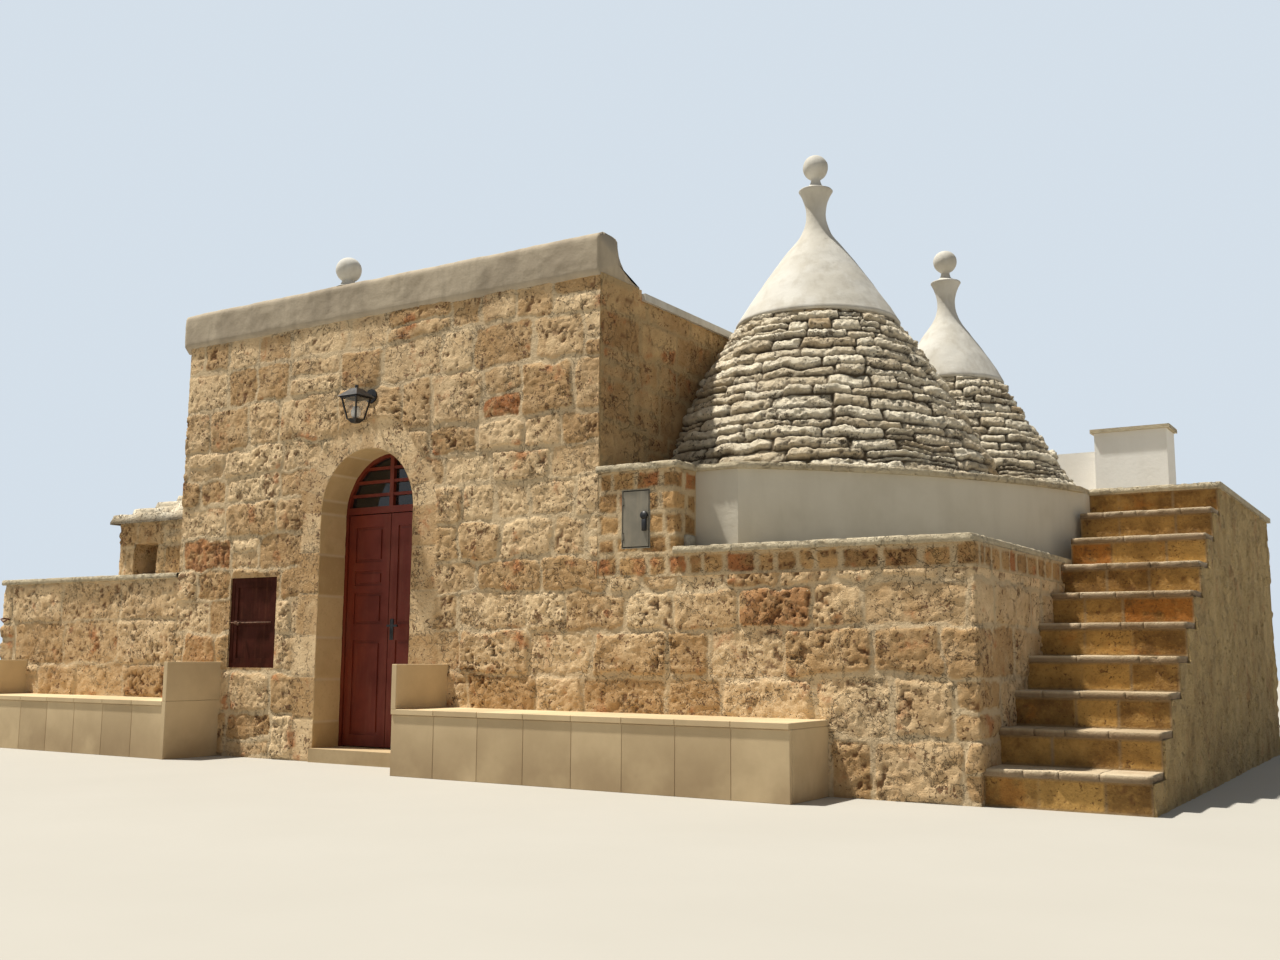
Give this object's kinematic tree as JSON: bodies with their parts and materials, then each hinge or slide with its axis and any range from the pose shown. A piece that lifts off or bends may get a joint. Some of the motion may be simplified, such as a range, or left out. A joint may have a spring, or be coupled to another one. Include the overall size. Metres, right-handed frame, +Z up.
{
  "type": "trullo house",
  "caption": "Stone house with an arched red door, plastered parapet, two corbelled stone cones with white caps and pinnacles, tiled benches, terrace and outside stairs.",
  "frame": {"origin": "middle of the doorway at ground level, in the plane of the front wall", "axes": "+X to the right along the front, +Y to the back, +Z up"},
  "size_m": [11.55, 6.935, 5.4241],
  "materials": {
    "facade_stone": "rough",
    "dressed_stone": "matte",
    "rubble_stone": "rough",
    "coping_stone": "matte",
    "white_plaster": "matte",
    "roof_masonry": "matte",
    "bench_tile": "matte",
    "red_door_paint": "satin",
    "brown_hatch_paint": "satin",
    "dark_pane": "gloss",
    "lantern_black": "satin",
    "lantern_pane": "gloss",
    "meter_grey": "satin"
  },
  "bodies": {
    "house": {"front_wall_left": "facade_stone", "front_wall_right": "facade_stone", "front_wall_over_door": "facade_stone", "left_wall": "facade_stone", "right_wall": "facade_stone", "back_wall": "facade_stone", "meter_pier": "facade_stone", "door_jambs": "dressed_stone", "door_arch": "dressed_stone", "door_threshold": "dressed_stone", "cone_1": "rubble_stone", "cone_2": "rubble_stone", "store_walls": "rubble_stone", "store_roof": "rubble_stone", "garden_wall": "rubble_stone", "front_terrace": "rubble_stone", "deck_right_wall": "rubble_stone", "deck_back_wall": "rubble_stone", "deck_left_wall": "rubble_stone", "stair_core": "rubble_stone", "low_wall_copings": "coping_stone", "deck_coping": "coping_stone", "stair_treads": "coping_stone", "back_pier_coping": "coping_stone", "front_parapet": "white_plaster", "wall_cap": "white_plaster", "cone_caps": "white_plaster", "finials": "white_plaster", "curved_wall": "white_plaster", "back_parapet": "white_plaster", "roof_vault": "roof_masonry", "roof_deck": "roof_masonry", "bench_bodies": "bench_tile", "bench_seats": "bench_tile", "bench_arms": "bench_tile", "door_frame": "red_door_paint", "fanlight_bars": "red_door_paint", "hatch_frame": "brown_hatch_paint", "hatch_leaf": "brown_hatch_paint", "fanlight_glass": "dark_pane", "lantern_body": "lantern_black", "lantern_glass": "lantern_pane", "meter_case": "meter_grey"},
    "door_left": {"door_leaf_left": "red_door_paint"},
    "door_right": {"door_leaf_right": "red_door_paint", "door_handle": "lantern_black"},
    "meter_door": {"meter_door": "meter_grey"}
  },
  "joints": [
    {"name": "left_leaf_swing", "type": "hinge", "parent": "house", "child": "door_left", "pos_m": [-0.491, 0.359, 1.15], "axis": [0, 0, 1], "range_deg": [0, 90]},
    {"name": "right_leaf_swing", "type": "hinge", "parent": "house", "child": "door_right", "pos_m": [0.491, 0.359, 1.15], "axis": [0, 0, -1], "range_deg": [0, 90]},
    {"name": "meter_door_swing", "type": "hinge", "parent": "house", "child": "meter_door", "pos_m": [2.6355, -0.014, 1.92], "axis": [0, 0, -1], "range_deg": [0, 110]}
  ]
}
